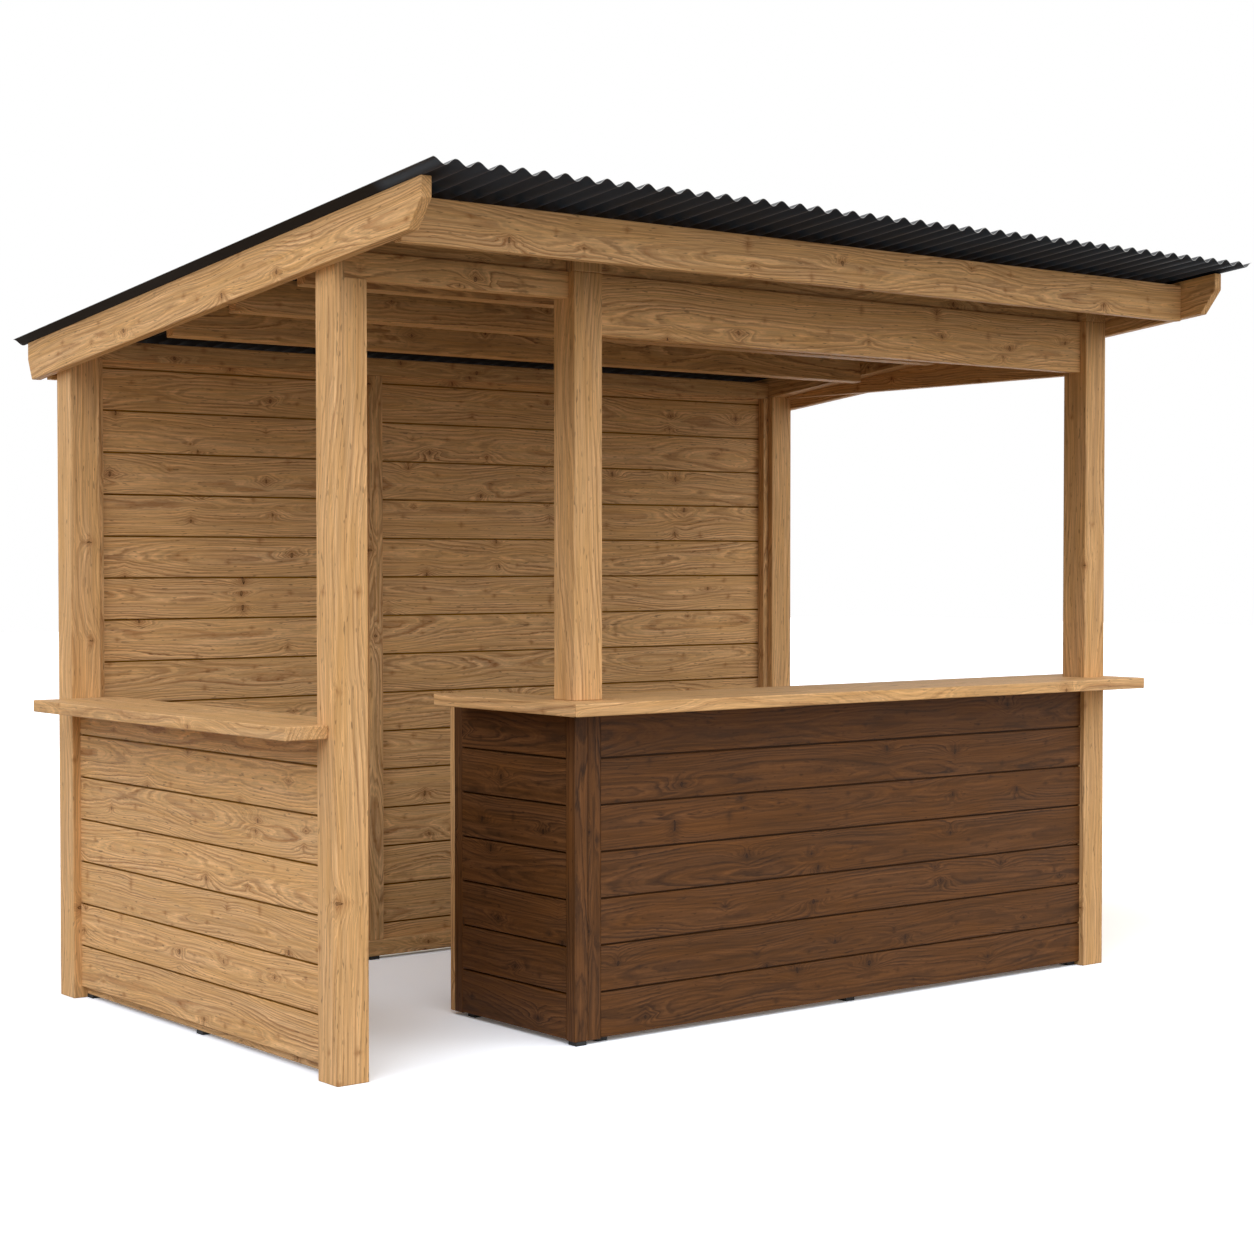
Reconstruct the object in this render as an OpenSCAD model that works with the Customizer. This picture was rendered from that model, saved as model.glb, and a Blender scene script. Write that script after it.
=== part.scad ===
// Outdoor garden bar: an open-fronted timber shelter with a mono-pitch corrugated roof,
// a walnut-stained bar counter at the front right, an entrance beside it at the front left,
// a boarded back wall, low side walls and a drinks shelf on the left side.
// The front faces -Y and +Z is up. The origin is on the ground, in the middle of the plan.

/* [Posts] */
// Width over the outer posts
frame_w = 3255; // [2900:5:3600]
// Depth over the outer posts
frame_d = 1795; // [1600:5:2100]
// Side of a square post
post = 105; // [90:1:120]
// Height of the front posts up to the rafter seat
front_post_h = 2338; // [2250:1:2450]
// Distance from the left side to the middle post, which is the entrance bay
entrance_w = 832; // [760:1:1000]

/* [Roof] */
// Fall of the roof towards the back, in degrees
roof_pitch = 6; // [4:0.5:8]
// Depth of a rafter, square to the roof
rafter_h = 82; // [70:1:100]
// Depth of a purlin, square to the roof
purlin_h = 108; // [95:1:120]
// Thickness of a purlin
purlin_t = 45; // [35:1:60]
// Distance from the front face of the posts to the first purlin
first_purlin = 350; // [300:5:400]
// Spacing of the purlins
purlin_step = 410; // [380:5:430]
// Thickness of the barge and fascia boards
barge_t = 34; // [25:1:40]
// Upright depth of the barge boards
barge_h = 130; // [115:1:145]
// Reach of the barge boards ahead of the posts
barge_front = 485; // [400:1:520]
// Reach of the barge boards behind the posts
barge_back = 155; // [130:1:190]
// Upright cut at the tip of a barge board
barge_nose = 57; // [40:1:70]
// Length of the chamfer under the tip of a barge board
barge_chamfer = 62; // [40:1:80]
// Distance from the posts to the face of the front fascia
fascia_front_reach = 339; // [300:1:380]
// Depth of the fascia boards
fascia_h = 126; // [110:1:140]
// Air gap between the fascia boards and the underside of the roof
fascia_drop = 14; // [0:1:20]
// Gap between the back posts and the back fascia
fascia_back_gap = 45; // [30:1:70]

/* [Roof sheets] */
// Number of corrugated sheets
sheet_count = 5; // [5:1:5]
// Whole waves in one sheet
sheet_waves = 10; // [8:1:10]
// Waves that two sheets share at a side lap
lap_waves = 0.5; // [0.5:1:1.5]
// Height of a wave
wave_h = 18; // [14:1:22]
// Thickness of the steel
sheet_t = 1; // [0.8:0.1:1.5]
// Reach of the sheets past the barge boards at the sides
sheet_side = 31; // [20:1:45]
// Reach of the sheets ahead of the posts
sheet_front = 590; // [540:1:640]
// Reach of the sheets behind the posts
sheet_back = 200; // [190:1:240]

/* [Headers] */
// Depth of the header over the entrance
entrance_header_h = 80; // [60:1:120]
// Depth of the header over the bar
bar_header_h = 184; // [150:1:200]
// Thickness of the headers
header_t = 45; // [35:1:50]
// Setback of the headers from the face of the posts
header_inset = 28; // [15:1:35]
// Setback of the closing boards above the headers
infill_inset = 40; // [36:1:50]
// Thickness of the closing boards above the headers
infill_t = 25; // [18:1:30]
// Width of the tongue left on the notched corner post
tongue = 32; // [25:1:45]
// Thickness of the side header
side_header_t = 36; // [30:1:45]
// Depth of the side header at its thin end, against the back post
side_header_tip = 6; // [4:1:60]

/* [Walls] */
// Thickness of the wall boards
board_t = 20; // [16:1:25]
// Depth of the studs and rails behind the boards
stud_d = 35; // [30:1:45]
// Width of the studs and rails
stud_w = 60; // [45:1:70]
// Width of the end studs beside the posts
end_stud_w = 26; // [22:1:45]
// Gap between the ground and the wall panels
ground_gap = 12; // [8:1:20]
// Distance from the left side to the middle stud of the back wall
back_stud_x = 1185; // [1100:5:1400]
// Setback of the back wall studs from the inner face of the posts
back_inset = 25; // [15:1:40]
// Drop from the top of the back posts to the underside of the back wall's top rail
back_rail_drop = 7; // [4:1:40]
// Height of the top rail of the back wall
back_rail_h = 64; // [50:1:68]
// Setback of the low side walls from the outer face of the posts
side_inset = 28; // [20:1:45]
// Height of the low wall on the right side
right_wall_h = 940; // [850:5:960]

/* [Shelf] */
// Height of the top of the shelf
shelf_h = 1011; // [950:1:1040]
// Thickness of the shelf
shelf_t = 39; // [30:1:45]
// Reach of the shelf outside the posts
shelf_out = 139; // [100:1:180]
// Width of the shelf inside the outer face of the posts
shelf_in = 165; // [150:1:220]
// Length of the shelf that laps over the side of the corner post
shelf_lap = 62; // [40:1:80]

/* [Counter] */
// Height of the top of the counter
counter_h = 1050; // [1042:1:1150]
// Thickness of the counter top
counter_t = 38; // [30:1:50]
// Reach of the counter top ahead of the posts
counter_front = 143; // [100:1:180]
// Reach of the counter top past the middle post on the entrance side
counter_left = 105; // [60:1:140]
// Reach of the counter top past the right corner post
counter_right = 55; // [30:1:90]
// Reach of the counter top behind the face of the posts
counter_back = 240; // [200:5:300]
// Reach of the return of the counter top behind the face of the posts
return_back = 605; // [550:5:640]
// Width of the return of the counter top
return_w = 210; // [205:1:260]
// Setback of the front panel from the face of the posts
panel_inset = 20; // [15:1:30]
// Setback of the end panel from the entrance side of the middle post
end_inset = 15; // [10:1:20]
// Width of a corner batten
batten_w = 50; // [45:1:60]
// Depth of a corner batten
batten_d = 45; // [40:1:50]
// Depth of the end panel behind the face of the posts
end_panel_back = 665; // [640:5:680]
// Depth of the bare stud behind the end panel
end_stud_d = 25; // [20:1:35]
// Side of a foot pad
foot = 40; // [30:1:45]

/* [Hidden] */

oak = "#c49a62";
oak_shade = "#a87f4b";
walnut = "#5a3826";
steel = "#2b2c2e";
pad_black = "#222222";

// The roof plane is the upper face of the rafters, purlins and boards.
// It passes the face of the front posts at roof_z0 and falls towards the back.
slope = tan(roof_pitch);
roof_z0 = front_post_h + rafter_h / cos(roof_pitch);
function roof_z(y) = roof_z0 - y * slope;
function rafter_under_z(y) = roof_z(y) - rafter_h / cos(roof_pitch);

back_inner_y = frame_d - post;
back_post_h = rafter_under_z(back_inner_y);
back_rail_z = back_post_h - back_rail_drop;
right_x = frame_w - post;
middle_r = entrance_w + post;

// Corrugated sheet: a cosine profile in whole segments, shared by all the sheets
sheet_rest = 0.2;
wave_segments = 10;
sheet_step = sheet_waves - lap_waves;
total_waves = sheet_count * sheet_waves - (sheet_count - 1) * lap_waves;
roof_left = -barge_t - sheet_side;
roof_w = frame_w + 2 * (barge_t + sheet_side);
wave_pitch = roof_w / total_waves;
function wave_z(k) = wave_h / 2 * (1 + cos(360 * k / wave_segments));

// Middle of the plan: the shelf reaches furthest to the left and the roof on the other sides
mid_x = (roof_left + roof_w - shelf_out) / 2;
sheet_top = wave_h + 2 * sheet_t + 2 * sheet_rest;
mid_y = (frame_d + sheet_back - sheet_front + (sheet_top + sheet_rest) * sin(roof_pitch)) / 2;

back_front_y = back_inner_y + back_inset;
back_boards_y = back_front_y + stud_d;
panel_x = entrance_w + end_inset;
counter_under = counter_h - counter_t;
counter_corner = [entrance_w - counter_left, -counter_front];
counter_inner_corner = [counter_corner[0] + return_w, counter_back];
shelf_under = shelf_h - shelf_t;
big = 5000;

// Everything is drawn with the corner post's outer front corner at zero, then centred
module placed(colour) {
    color(colour)
        translate([-mid_x, -mid_y, 0])
            children();
}

// Box between two corners
module span(from, to) {
    translate(from)
        cube(to - from);
}

// Solid piece cut off along the roof's slope, at the height z0 over the face of the front posts
module under_slope(z0) {
    difference() {
        children();
        translate([-big / 2, 0, z0])
            rotate([-roof_pitch, 0, 0])
                translate([0, -big / 2, 0])
                    cube([2 * big, big, big]);
    }
}

// Solid piece trimmed to the underside of the sheets
module under_roof() {
    under_slope(roof_z0)
        children();
}

// Outline in Y and Z, drawn as a board from one X to another
module side_board(x, thickness, points) {
    translate([x, 0, 0])
        rotate([90, 0, 90])
            linear_extrude(height = thickness)
                polygon(points);
}

module plain_post(x, y, height) {
    span([x, y, 0], [x + post, y + post, height]);
}

module post_front_left() {
    placed(oak)
        difference() {
            plain_post(0, 0, front_post_h);
            span([tongue, -1, front_post_h - entrance_header_h], [post + 1, post + 1, front_post_h + 1]);
        }
}

module post_front_middle() {
    placed(oak)
        span([entrance_w, 0, counter_h], [middle_r, post, front_post_h]);
}

module post_front_right() {
    placed(oak)
        plain_post(right_x, 0, front_post_h);
}

module post_back_left() {
    placed(oak)
        plain_post(0, back_inner_y, back_post_h);
}

module post_back_right() {
    placed(oak)
        plain_post(right_x, back_inner_y, back_post_h);
}

module middle_post_cap() {
    placed(oak)
        under_roof()
            span([entrance_w, 0, front_post_h], [middle_r, post, roof_z0 + 1]);
}

// The left end of this header lies in the notch of the corner post
module entrance_header() {
    placed(oak)
        span([tongue, header_inset, front_post_h - entrance_header_h],
             [entrance_w, header_inset + header_t, front_post_h]);
}

module bar_header() {
    placed(oak)
        span([middle_r, header_inset, front_post_h - bar_header_h],
             [right_x, header_inset + header_t, front_post_h]);
}

module infill(x0, x1) {
    placed(oak_shade)
        under_roof()
            span([x0, infill_inset, front_post_h], [x1, infill_inset + infill_t, roof_z0]);
}

module entrance_infill() {
    infill(post, entrance_w);
}

module bar_infill() {
    infill(middle_r, right_x);
}

// Wedge with a level lower edge that closes the side under the sloping rafter
module side_header_right() {
    placed(oak_shade)
        under_slope(front_post_h)
            span([frame_w - side_header_t, post, back_post_h - side_header_tip],
                 [frame_w, back_inner_y, front_post_h]);
}

// Rafter with a level seat cut over each post
module rafter(x) {
    tail_y = frame_d + fascia_back_gap;
    placed(oak_shade)
        side_board(x, post,
            [[0, front_post_h], [post, front_post_h], [post, rafter_under_z(post)],
             [back_inner_y, back_post_h], [frame_d, back_post_h], [frame_d, rafter_under_z(frame_d)],
             [tail_y, rafter_under_z(tail_y)], [tail_y, roof_z(tail_y)], [0, roof_z0]]);
}

module rafter_left() {
    rafter(0);
}

module rafter_right() {
    rafter(right_x);
}

// Purlin between the rafters, square to the roof
module purlin(i) {
    placed(oak_shade)
        translate([post, 0, roof_z0])
            rotate([-roof_pitch, 0, 0])
                translate([0, (first_purlin + i * purlin_step) / cos(roof_pitch), -purlin_h])
                    cube([frame_w - 2 * post, purlin_t, purlin_h]);
}

module purlin_1() {
    purlin(0);
}

module purlin_2() {
    purlin(1);
}

module purlin_3() {
    purlin(2);
}

// Board between the barge boards, bevelled along its top to the roof
module fascia(y) {
    placed(oak)
        translate([0, 0, -fascia_drop])
            under_roof()
                span([0, y, roof_z(y) - fascia_h], [frame_w, y + barge_t, roof_z(y) + 1]);
}

module front_fascia() {
    fascia(-fascia_front_reach);
}

module back_fascia() {
    fascia(frame_d + fascia_back_gap);
}

// Barge board with an upright nose and a chamfer under it at both ends
module barge(x) {
    y0 = -barge_front;
    y1 = frame_d + barge_back;
    inner0 = y0 + barge_chamfer;
    inner1 = y1 - barge_chamfer / 2;
    placed(oak)
        side_board(x, barge_t,
            [[y0, roof_z(y0)], [y0, roof_z(y0) - barge_nose], [inner0, roof_z(inner0) - barge_h],
             [inner1, roof_z(inner1) - barge_h], [y1, roof_z(y1) - barge_nose], [y1, roof_z(y1)]]);
}

module barge_left() {
    barge(-barge_t);
}

module barge_right() {
    barge(frame_w);
}

// One corrugated sheet. Each second sheet lies over its neighbours at the side laps.
module roof_sheet(i) {
    k0 = round(i * sheet_step * wave_segments);
    k1 = k0 + round(sheet_waves * wave_segments);
    lift = sheet_rest + (i % 2) * (sheet_t + sheet_rest);
    dx = wave_pitch / wave_segments;
    under = [for (k = [k0 : k1]) [k * dx, wave_z(k) + lift]];
    over = [for (k = [k1 : -1 : k0]) [k * dx, wave_z(k) + lift + sheet_t]];
    placed(steel)
        translate([roof_left, 0, roof_z0])
            rotate([-roof_pitch, 0, 0])
                translate([0, (frame_d + sheet_back) / cos(roof_pitch), 0])
                    rotate([90, 0, 0])
                        linear_extrude(height = (sheet_front + frame_d + sheet_back) / cos(roof_pitch))
                            polygon(concat(under, over));
}

module roof_sheet_1() {
    roof_sheet(0);
}

module roof_sheet_2() {
    roof_sheet(1);
}

module roof_sheet_3() {
    roof_sheet(2);
}

module roof_sheet_4() {
    roof_sheet(3);
}

module roof_sheet_5() {
    roof_sheet(4);
}

module back_wall_boards() {
    placed(oak_shade)
        span([post, back_boards_y, ground_gap],
             [right_x, back_boards_y + board_t, back_rail_z + back_rail_h]);
}

// Bottom rail, end studs and middle stud in one halved frame
module back_wall_frame() {
    y0 = back_front_y;
    y1 = back_boards_y;
    placed(oak_shade) {
        span([post, y0, ground_gap], [right_x, y1, ground_gap + stud_w]);
        span([post, y0, ground_gap], [post + end_stud_w, y1, back_rail_z]);
        span([right_x - end_stud_w, y0, ground_gap], [right_x, y1, back_rail_z]);
        span([back_stud_x, y0, ground_gap], [back_stud_x + stud_w, y1, back_rail_z]);
    }
}

module back_top_rail() {
    placed(oak_shade)
        span([post, back_front_y, back_rail_z], [right_x, back_boards_y, back_rail_z + back_rail_h]);
}

// Low side wall: boards outside, and a frame of rails and studs inside
module side_boards(x, top) {
    placed(oak)
        span([x, post, ground_gap], [x + board_t, back_inner_y, top]);
}

module side_frame(x, top) {
    middle_y = (frame_d - stud_w) / 2;
    placed(oak_shade) {
        span([x, post, ground_gap], [x + stud_d, back_inner_y, ground_gap + stud_w]);
        span([x, post, top - stud_w], [x + stud_d, back_inner_y, top]);
        span([x, post, ground_gap], [x + stud_d, post + stud_w, top]);
        span([x, middle_y, ground_gap], [x + stud_d, middle_y + stud_w, top]);
        span([x, back_inner_y - stud_w, ground_gap], [x + stud_d, back_inner_y, top]);
    }
}

module left_wall_boards() {
    side_boards(side_inset, shelf_under);
}

module left_wall_frame() {
    side_frame(side_inset + board_t, shelf_under);
}

module right_wall_boards() {
    side_boards(frame_w - side_inset - board_t, right_wall_h);
}

module right_wall_frame() {
    side_frame(frame_w - side_inset - board_t - stud_d, right_wall_h);
}

// Shelf between the posts, which laps over the outer side of the front corner post
module left_shelf() {
    placed(oak)
        translate([0, 0, shelf_under])
            linear_extrude(height = shelf_t)
                polygon([[-shelf_out, post - shelf_lap], [0, post - shelf_lap], [0, post],
                    [shelf_in, post], [shelf_in, back_inner_y], [-shelf_out, back_inner_y]]);
}

// Board of the counter top, drawn as its outline in plan
module counter_board(points) {
    translate([0, 0, counter_under])
        linear_extrude(height = counter_t)
            polygon(points);
}

// The front board and the return meet in a mitre from corner to corner,
// and the right corner post stands through the front board
module counter_top_front() {
    placed(oak)
        difference() {
            counter_board([counter_corner, [frame_w + counter_right, -counter_front],
                [frame_w + counter_right, counter_back], counter_inner_corner]);
            span([right_x, 0, counter_under - 1], [frame_w, post, counter_h + 1]);
        }
}

module counter_top_return() {
    placed(oak)
        counter_board([counter_corner, counter_inner_corner,
            [counter_inner_corner[0], return_back], [counter_corner[0], return_back]]);
}

module counter_front_boards() {
    placed(walnut)
        span([panel_x + 2 * batten_w, panel_inset, ground_gap],
             [right_x, panel_inset + board_t, counter_under]);
}

// Rails and studs behind the front boards
module counter_front_frame() {
    x0 = panel_x + 2 * batten_w;
    y0 = panel_inset + board_t;
    y1 = y0 + batten_d;
    bays = 3;
    bay = (right_x - x0 - batten_d) / bays;
    placed(oak_shade) {
        span([x0, y0, ground_gap], [right_x, y1, ground_gap + batten_d]);
        span([x0, y0, counter_under - batten_d], [right_x, y1, counter_under]);
        for (i = [0 : bays])
            span([x0 + i * bay, y0, ground_gap], [x0 + i * bay + batten_d, y1, counter_under]);
    }
}

module counter_end_boards() {
    placed(walnut)
        span([panel_x, panel_inset + batten_d, ground_gap],
             [panel_x + board_t, end_panel_back - batten_d, counter_under]);
}

// Rails and studs behind the end boards, with a bare stud at the back
module counter_end_frame() {
    x0 = panel_x + board_t;
    x1 = x0 + batten_d;
    y0 = panel_inset + batten_d;
    y1 = end_panel_back - batten_d;
    y2 = end_panel_back + end_stud_d;
    placed(oak_shade) {
        span([x0, y0, ground_gap], [x1, y1, ground_gap + batten_d]);
        span([x0, y0, counter_under - batten_d], [x1, y1, counter_under]);
        span([x0, y0, ground_gap], [x1, y0 + batten_d, counter_under]);
        span([x0, y1 - batten_d, ground_gap], [x1, y1, counter_under]);
    }
    placed(oak_shade)
        span([panel_x, end_panel_back, ground_gap], [x1, y2, counter_under]);
}

module corner_batten(i) {
    x = panel_x + i * batten_w;
    placed(walnut)
        span([x, panel_inset, ground_gap], [x + batten_w, panel_inset + batten_d, counter_under]);
}

module counter_corner_outer() {
    corner_batten(0);
}

module counter_corner_inner() {
    corner_batten(1);
}

module counter_back_batten() {
    placed(walnut)
        span([panel_x, end_panel_back - batten_d, ground_gap],
             [panel_x + board_t + batten_d, end_panel_back, counter_under]);
}

// Pads under the counter panels and the wall frames
module foot_pads() {
    front_y = panel_inset + board_t;
    end_x = panel_x + board_t;
    places = [
        [panel_x + (batten_w - foot) / 2, panel_inset],
        [panel_x + 2 * batten_w, front_y],
        [(panel_x + right_x) / 2, front_y],
        [right_x - foot, front_y],
        [end_x, end_panel_back - batten_d - foot],
    ];
    placed(pad_black) {
        for (p = places)
            translate([p[0], p[1], 0])
                cube([foot, foot, ground_gap]);
        for (x = [back_stud_x, right_x - end_stud_w - foot, post + end_stud_w])
            translate([x, back_front_y, 0])
                cube([foot, stud_d, ground_gap]);
        for (x = [side_inset + board_t, frame_w - side_inset - board_t - stud_d])
            for (y = [post, (frame_d - foot) / 2, back_inner_y - foot])
                translate([x, y, 0])
                    cube([stud_d, foot, ground_gap]);
    }
}

post_front_left();
post_front_middle();
post_front_right();
post_back_left();
post_back_right();
middle_post_cap();
entrance_header();
bar_header();
entrance_infill();
bar_infill();
side_header_right();
rafter_left();
rafter_right();
purlin_1();
purlin_2();
purlin_3();
front_fascia();
back_fascia();
barge_left();
barge_right();
roof_sheet_1();
roof_sheet_2();
roof_sheet_3();
roof_sheet_4();
roof_sheet_5();
back_wall_boards();
back_wall_frame();
back_top_rail();
left_wall_boards();
left_wall_frame();
left_shelf();
right_wall_boards();
right_wall_frame();
counter_top_front();
counter_top_return();
counter_front_boards();
counter_front_frame();
counter_end_boards();
counter_end_frame();
counter_corner_outer();
counter_corner_inner();
counter_back_batten();
foot_pads();
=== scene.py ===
"""Finish of an outdoor garden bar: planed and oiled softwood, a walnut-stained counter and corrugated steel."""

import math
import random

import bmesh
import bpy
from mathutils import Matrix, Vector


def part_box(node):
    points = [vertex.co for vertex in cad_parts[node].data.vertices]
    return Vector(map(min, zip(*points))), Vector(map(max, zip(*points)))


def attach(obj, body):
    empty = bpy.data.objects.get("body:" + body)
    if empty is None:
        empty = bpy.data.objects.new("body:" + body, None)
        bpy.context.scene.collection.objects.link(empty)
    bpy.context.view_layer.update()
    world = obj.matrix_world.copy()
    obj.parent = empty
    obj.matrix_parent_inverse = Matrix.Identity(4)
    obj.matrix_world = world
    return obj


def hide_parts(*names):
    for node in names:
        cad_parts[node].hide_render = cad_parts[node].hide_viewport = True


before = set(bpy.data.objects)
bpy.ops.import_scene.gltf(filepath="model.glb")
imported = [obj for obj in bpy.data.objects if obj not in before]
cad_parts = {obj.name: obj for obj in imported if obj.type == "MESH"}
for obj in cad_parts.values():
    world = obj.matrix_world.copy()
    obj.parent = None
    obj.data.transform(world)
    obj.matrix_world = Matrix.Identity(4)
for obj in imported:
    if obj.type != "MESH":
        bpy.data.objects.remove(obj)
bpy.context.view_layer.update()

MM = 0.001

# Timbers: eased edges, and the frames that are one fused solid each in the CAD
EDGE = 3.0 * MM
PAD_EDGE = 1.0 * MM
SHARP_FROM = math.radians(12)
STUD_W = 60.0 * MM
END_STUD_W = 26.0 * MM
BACK_STUD_FROM_POST = 1080.0 * MM
BATTEN = 45.0 * MM
COUNTER_BAYS = 3

# Boards: the joint that shows, the tongue, and each wall's pitch and the height of its lowest joint
BOARD_GAP = 5.5 * MM
BOARD_ROUND = 2.4 * MM
TONGUE_REACH = 6.0 * MM
TONGUE_PLAY = 0.6 * MM
TONGUE_FROM = 0.45
TONGUE_TO = 0.70
WALL_PITCH = 143.0 * MM
WALL_FIRST_JOINT = 126.0 * MM
SIDE_PITCH = 142.0 * MM
SIDE_FIRST_JOINT = 178.0 * MM
COUNTER_PITCH = 143.0 * MM
COUNTER_FIRST_JOINT = 156.0 * MM

# Roof: five sheets of cosine waves, each lapped by half a wave
ROOF_PITCH = math.radians(6)
SHEETS = 5
SHEET_WAVES = 10
LAP_WAVES = 0.5
ROOF_WAVES = SHEETS * SHEET_WAVES - (SHEETS - 1) * LAP_WAVES
WAVE_H = 18 * MM
SHEET_T = 1 * MM
SHEET_REST = 0.2 * MM
STEPS_A_WAVE = 24
STEPS_ALONG = 9

# Roofing screws
SCREW_EVERY = 2
WASHER_R = 8 * MM
WASHER_T = 3.6 * MM
HEAD_R = 4.6 * MM
HEAD_H = 5 * MM
SCREW_SUNK = 1 * MM

# Logs, in metres: each timber has its own stretch of a log, and its heart lies a little outside the timber and
# wanders across the log as it goes along
LOG_LENGTH = 150
HEART_WANDER = (0, 0.09, 0.07)
WANDERS_A_METRE = 1.1
HEART_OFF = (0.030, 0.075)
CORNER_HEART_OFF = (0.06, 0.11)
BOARD_HEART = ((0, -0.045, 0.025), (LOG_LENGTH, 0.045, 0.085))

# Wood patterns, as features a metre across the log and along it, and their detail. Real fibres are far under a
# millimetre wide, so they are drawn coarser here to show at all
BODY_STREAKS = (70, 2.4, 3.0)
FIBRES = (190, 6, 1.0)
FINE_FIBRES = (520, 14, 2.0)
RESIN_FLECKS = (150, 26, 1.0)
PATCHES = (16, 2.6, 2.0)
KNOT_RAGGED = (70, 60, 1.0)
WAVERS = ((13, 1.6, 2.0, 26 * MM), (52, 10, 2.0, 6 * MM), (170, 50, 1.0, 2.2 * MM))
THREAD_MM = 2.4

# Rings: how far, in rings, their widths stray from even, and how often
RING_STRAY = 1.8
STRAYS_A_RING = 0.45

# Knots: branches in a metre of log, the share of them that leaves no knot, their size before they are narrowed
# along and across the log, and their ragged outline
BRANCHES = 3.2
NO_KNOT = 0.60
KNOT_R = (0.1 * MM, 9.5 * MM)
KNOT_NARROW = (1.7, 1.2, 0)
KNOT_JAGS = (8 * MM, 8 * MM, 0)
# The grain swells round a knot in a diamond, which reaches further for a larger knot
KNOT_SWELL = 4.8
DIAMOND = (0.42, 0.85, 0)
DIAMOND_REACH = (1.3, 9 * MM)

# How much rougher the underside of the roof is behind the front fascia, where it is also painted dark brown as shade
UNDER_ROOF_DULLS = 0.45

# The camera stands where the photograph was taken from
CAMERA_PLACE = (-4.9578, -6.2465, 1.4631)
CAMERA_DOWN = 0.0274
CAMERA_TURN = -0.6709
LENS = 66.54
SENSOR = 36.0
CAMERA_REACH = 200

# Stage: floor size in metres, and lamps with strength, colour, tilt, turn and spread in degrees
FLOOR_SIZE = 80
SUNS = (("key", 2.15, "#f6f9ff", 55, 8, 90), ("side", 2.02, "#ecf3ff", 50, -80, 60))


def set_camera():
    data = bpy.data.cameras.new("camera")
    data.sensor_width = SENSOR
    data.lens = LENS
    data.clip_end = CAMERA_REACH
    camera = bpy.data.objects.new("camera", data)
    camera.location = CAMERA_PLACE
    camera.rotation_euler = (math.pi / 2 - CAMERA_DOWN, 0, CAMERA_TURN)
    bpy.context.scene.collection.objects.link(camera)
    bpy.context.scene.camera = camera


def linear(colour):
    """An sRGB hex colour as linear RGBA."""
    channels = [int(colour[i:i + 2], 16) / 255 for i in (1, 3, 5)]
    return [c / 12.92 if c <= 0.04045 else ((c + 0.055) / 1.055) ** 2.4 for c in channels] + [1.0]


def add(tree, kind, inputs=(), stops=(), **settings):
    """Adds a node with its settings. Inputs are values or sockets, in order, or by name or number in a dict.
    Stops are a colour ramp's places, each with a hex colour or a grey."""
    node = tree.nodes.new(kind)
    for name, value in settings.items():
        setattr(node, name, value)
    for key, value in inputs.items() if isinstance(inputs, dict) else enumerate(inputs):
        if isinstance(value, bpy.types.NodeSocket):
            tree.links.new(value, node.inputs[key])
        else:
            node.inputs[key].default_value = value
    for i, (spot, colour) in enumerate(stops):
        marks = node.color_ramp.elements
        mark = marks[i] if i < len(marks) else marks.new(spot)
        mark.position = spot
        mark.color = linear(colour) if isinstance(colour, str) else (colour, colour, colour, 1)
    return node


def new_material(name):
    material = bpy.data.materials.new(name)
    material.use_nodes = True
    material.node_tree.nodes.clear()
    return material, material.node_tree


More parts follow.
